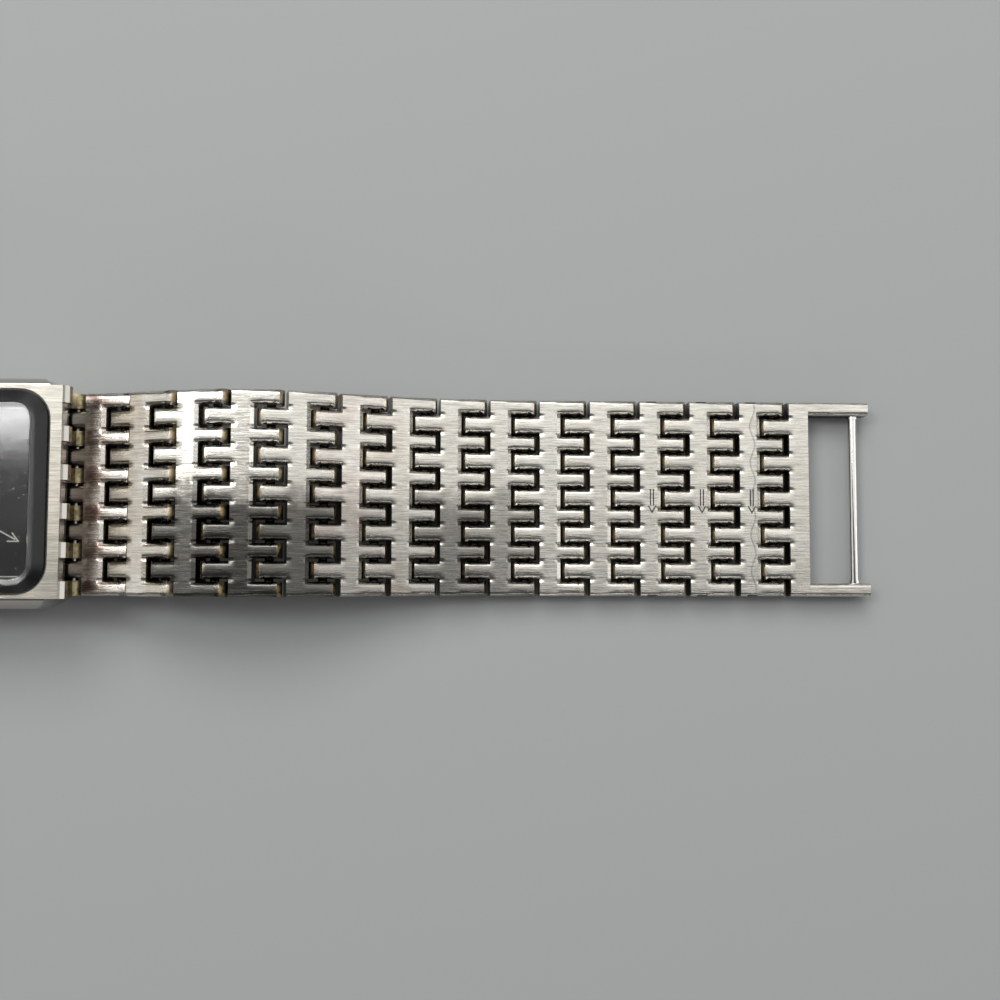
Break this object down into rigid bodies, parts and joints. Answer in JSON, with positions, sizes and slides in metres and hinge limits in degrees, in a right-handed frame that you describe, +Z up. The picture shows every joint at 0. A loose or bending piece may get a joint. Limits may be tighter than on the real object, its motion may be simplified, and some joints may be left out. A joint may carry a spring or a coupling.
{
  "type": "rectangular wristwatch",
  "caption": "Rectangular quartz wristwatch with a cushion-sided case, bevelled crystal and comb-link metal bracelet, laid open with its end frame and hinged clasp apart.",
  "frame": {"origin": "centre of the case back's flat outer face, on the surface the watch lies on", "axes": "+X along the bracelet towards the end frame, +Y across it away from the crown, +Z up out of the crystal"},
  "size_m": [0.1672, 0.0218, 0.0085],
  "materials": {
    "link_metal": "brushed along the band, plated and worn",
    "case_metal": "brushed along the band, plated and worn",
    "pin_steel": "drawn",
    "bar_steel": "polished",
    "clasp_metal": "brushed",
    "crystal_glass": "clear",
    "seal_rubber": "matt",
    "dial_paint": "satin",
    "marker_metal": "satin",
    "hand_metal": "satin",
    "holder_plastic": "matt",
    "movement_plate": "satin",
    "gear_brass": "satin",
    "screw_steel": "blued",
    "battery_steel": "satin",
    "contact_metal": "satin",
    "coil_copper": "enamelled",
    "stator_iron": "satin",
    "board_green": "lacquered",
    "can_metal": "satin",
    "rotor_magnet": "satin",
    "lever_steel": "satin"
  },
  "bodies": {
    "case": {"case_body": "case_metal", "case_back": "case_metal", "back_gasket": "seal_rubber", "case_pin_right": "pin_steel", "case_pin_left": "pin_steel", "crystal": "crystal_glass", "crystal_gasket": "seal_rubber", "dial": "dial_paint", "dial_markers": "marker_metal", "movement_holder": "holder_plastic", "main_plate": "movement_plate", "train_bridge": "movement_plate", "movement_screws": "screw_steel", "battery": "battery_steel", "battery_strap": "contact_metal", "coil": "coil_copper", "stator": "stator_iron", "circuit_board": "board_green", "quartz_can": "can_metal"},
    "link_right_01": {"link_right_01": "link_metal"},
    "link_right_02": {"link_right_02": "link_metal"},
    "link_right_03": {"link_right_03": "link_metal"},
    "link_right_04": {"link_right_04": "link_metal"},
    "link_right_05": {"link_right_05": "link_metal"},
    "link_right_06": {"link_right_06": "link_metal"},
    "link_right_07": {"link_right_07": "link_metal"},
    "link_right_08": {"link_right_08": "link_metal"},
    "link_right_09": {"link_right_09": "link_metal"},
    "link_right_10": {"link_right_10": "link_metal"},
    "link_right_11": {"link_right_11": "link_metal"},
    "link_right_12": {"link_right_12": "link_metal"},
    "link_right_13": {"link_right_13": "link_metal"},
    "link_right_14": {"link_right_14": "link_metal"},
    "end_frame": {"end_frame": "link_metal", "frame_bar": "bar_steel"},
    "link_left_01": {"link_left_01": "link_metal"},
    "link_left_02": {"link_left_02": "link_metal"},
    "link_left_03": {"link_left_03": "link_metal"},
    "link_left_04": {"link_left_04": "link_metal"},
    "link_left_05": {"link_left_05": "link_metal"},
    "link_left_06": {"link_left_06": "link_metal"},
    "link_left_07": {"link_left_07": "link_metal"},
    "link_left_08": {"link_left_08": "link_metal"},
    "link_left_09": {"link_left_09": "link_metal"},
    "link_left_10": {"link_left_10": "link_metal"},
    "clasp_base": {"clasp_base": "clasp_metal", "clasp_hinge_pin": "pin_steel", "clasp_latch": "clasp_metal"},
    "clasp_cover": {"clasp_cover": "clasp_metal", "clasp_hook": "clasp_metal"},
    "setting_lever": {"setting_lever": "lever_steel"},
    "crown": {"stem": "lever_steel", "crown": "case_metal"},
    "minute_hand": {"minute_hand": "hand_metal", "centre_wheel": "gear_brass"},
    "hour_hand": {"hour_hand": "hand_metal", "hour_wheel": "gear_brass"},
    "minute_wheel": {"minute_wheel": "gear_brass"},
    "third_wheel": {"third_wheel": "gear_brass"},
    "rotor": {"rotor": "rotor_magnet"}
  },
  "joints": [
    {"name": "right_hinge_01", "type": "hinge", "parent": "case", "child": "link_right_01", "pos_m": [0.013, 0, 0.0026], "axis": [0, 1, 0], "range_deg": [-7.6, 24.3]},
    {"name": "right_hinge_02", "type": "hinge", "parent": "link_right_01", "child": "link_right_02", "pos_m": [0.01752, 0, 0.00359], "axis": [0, 1, 0], "range_deg": [-0.2, 24.7]},
    {"name": "right_hinge_03", "type": "hinge", "parent": "link_right_02", "child": "link_right_03", "pos_m": [0.02181, 0, 0.00533], "axis": [0, 1, 0], "range_deg": [-19.1, 5.8]},
    {"name": "right_hinge_04", "type": "hinge", "parent": "link_right_03", "child": "link_right_04", "pos_m": [0.02633, 0, 0.00636], "axis": [0, 1, 0], "range_deg": [-24.5, 0.4]},
    {"name": "right_hinge_05", "type": "hinge", "parent": "link_right_04", "child": "link_right_05", "pos_m": [0.03095, 0, 0.00623], "axis": [0, 1, 0], "range_deg": [-23.7, 1.2]},
    {"name": "right_hinge_06", "type": "hinge", "parent": "link_right_05", "child": "link_right_06", "pos_m": [0.03542, 0, 0.005], "axis": [0, 1, 0], "range_deg": [-14.8, 10.1]},
    {"name": "right_hinge_07", "type": "hinge", "parent": "link_right_06", "child": "link_right_07", "pos_m": [0.03976, 0, 0.0034], "axis": [0, 1, 0], "range_deg": [-6.4, 18.5]},
    {"name": "right_hinge_08", "type": "hinge", "parent": "link_right_07", "child": "link_right_08", "pos_m": [0.04419, 0, 0.00206], "axis": [0, 1, 0], "range_deg": [-0.5, 24.4]},
    {"name": "right_hinge_09", "type": "hinge", "parent": "link_right_08", "child": "link_right_09", "pos_m": [0.04879, 0, 0.00147], "axis": [0, 1, 0], "range_deg": [-7.3, 17.6]},
    {"name": "right_hinge_10", "type": "hinge", "parent": "link_right_09", "child": "link_right_10", "pos_m": [0.0534, 0, 0.0011], "axis": [0, 1, 0], "range_deg": [-5.3, 19.6]},
    {"name": "right_hinge_11", "type": "hinge", "parent": "link_right_10", "child": "link_right_11", "pos_m": [0.05803, 0, 0.0011], "axis": [0, 1, 0], "range_deg": [-10, 15]},
    {"name": "right_hinge_12", "type": "hinge", "parent": "link_right_11", "child": "link_right_12", "pos_m": [0.06266, 0, 0.0011], "axis": [0, 1, 0], "range_deg": [-10, 15]},
    {"name": "right_hinge_13", "type": "hinge", "parent": "link_right_12", "child": "link_right_13", "pos_m": [0.06729, 0, 0.0011], "axis": [0, 1, 0], "range_deg": [-10, 15]},
    {"name": "right_hinge_14", "type": "hinge", "parent": "link_right_13", "child": "link_right_14", "pos_m": [0.07192, 0, 0.0011], "axis": [0, 1, 0], "range_deg": [-10, 15]},
    {"name": "right_hinge_15", "type": "hinge", "parent": "link_right_14", "child": "end_frame", "pos_m": [0.07655, 0, 0.0011], "axis": [0, 1, 0], "range_deg": [-10, 15]},
    {"name": "left_hinge_01", "type": "hinge", "parent": "case", "child": "link_left_01", "pos_m": [-0.013, 0, 0.0026], "axis": [0, -1, 0], "range_deg": [-22.4, 9.5]},
    {"name": "left_hinge_02", "type": "hinge", "parent": "link_left_01", "child": "link_left_02", "pos_m": [-0.01763, 0, 0.00241], "axis": [0, -1, 0], "range_deg": [-15, 9.9]},
    {"name": "left_hinge_03", "type": "hinge", "parent": "link_left_02", "child": "link_left_03", "pos_m": [-0.02222, 0, 0.0018], "axis": [0, -1, 0], "range_deg": [-8.8, 16.1]},
    {"name": "left_hinge_04", "type": "hinge", "parent": "link_left_03", "child": "link_left_04", "pos_m": [-0.02682, 0, 0.00129], "axis": [0, -1, 0], "range_deg": [-6, 18.9]},
    {"name": "left_hinge_05", "type": "hinge", "parent": "link_left_04", "child": "link_left_05", "pos_m": [-0.03144, 0, 0.0011], "axis": [0, -1, 0], "range_deg": [-7.5, 17.4]},
    {"name": "left_hinge_06", "type": "hinge", "parent": "link_left_05", "child": "link_left_06", "pos_m": [-0.03607, 0, 0.0011], "axis": [0, -1, 0], "range_deg": [-10, 15]},
    {"name": "left_hinge_07", "type": "hinge", "parent": "link_left_06", "child": "link_left_07", "pos_m": [-0.0407, 0, 0.0011], "axis": [0, -1, 0], "range_deg": [-10, 15]},
    {"name": "left_hinge_08", "type": "hinge", "parent": "link_left_07", "child": "link_left_08", "pos_m": [-0.04533, 0, 0.0011], "axis": [0, -1, 0], "range_deg": [-10, 15]},
    {"name": "left_hinge_09", "type": "hinge", "parent": "link_left_08", "child": "link_left_09", "pos_m": [-0.04996, 0, 0.0011], "axis": [0, -1, 0], "range_deg": [-10, 15]},
    {"name": "left_hinge_10", "type": "hinge", "parent": "link_left_09", "child": "link_left_10", "pos_m": [-0.05459, 0, 0.0011], "axis": [0, -1, 0], "range_deg": [-10, 15]},
    {"name": "left_hinge_11", "type": "hinge", "parent": "link_left_10", "child": "clasp_base", "pos_m": [-0.05922, 0, 0.0011], "axis": [0, -1, 0], "range_deg": [-10, 15]},
    {"name": "clasp_cover_hinge", "type": "hinge", "parent": "clasp_base", "child": "clasp_cover", "pos_m": [-0.07822, 0, 0.0011], "axis": [0, -1, 0], "range_deg": [0, 110]},
    {"name": "crown_pull", "type": "slide", "parent": "case", "child": "setting_lever", "axis": [0, -1, 0], "range_m": [0, 0.0009]},
    {"name": "crown_turn", "type": "hinge", "parent": "setting_lever", "child": "crown", "pos_m": [0, -0.01, 0.00245], "axis": [0, -1, 0], "continuous": true},
    {"name": "minute_hand_turn", "type": "hinge", "parent": "case", "child": "minute_hand", "pos_m": [0, 0, 0.0045], "axis": [0, 0, -1], "continuous": true},
    {"name": "hour_hand_turn", "type": "hinge", "parent": "case", "child": "hour_hand", "pos_m": [0, 0, 0.0045], "axis": [0, 0, -1], "continuous": true},
    {"name": "minute_wheel_turn", "type": "hinge", "parent": "case", "child": "minute_wheel", "pos_m": [0, -0.00264, 0.0045], "axis": [0, 0, -1], "continuous": true},
    {"name": "third_wheel_turn", "type": "hinge", "parent": "case", "child": "third_wheel", "pos_m": [0.00214, 0.0018, 0.0025], "axis": [0, 0, -1], "continuous": true},
    {"name": "rotor_turn", "type": "hinge", "parent": "case", "child": "rotor", "pos_m": [0.00168, 0.00446, 0.0025], "axis": [0, 0, -1], "continuous": true}
  ],
  "couplings": [
    {"joint": "hour_hand_turn", "follows": "minute_hand_turn", "ratio": 0.083333},
    {"joint": "minute_wheel_turn", "follows": "minute_hand_turn", "ratio": -0.33333},
    {"joint": "third_wheel_turn", "follows": "minute_hand_turn", "ratio": -6},
    {"joint": "rotor_turn", "follows": "minute_hand_turn", "ratio": 30}
  ]
}
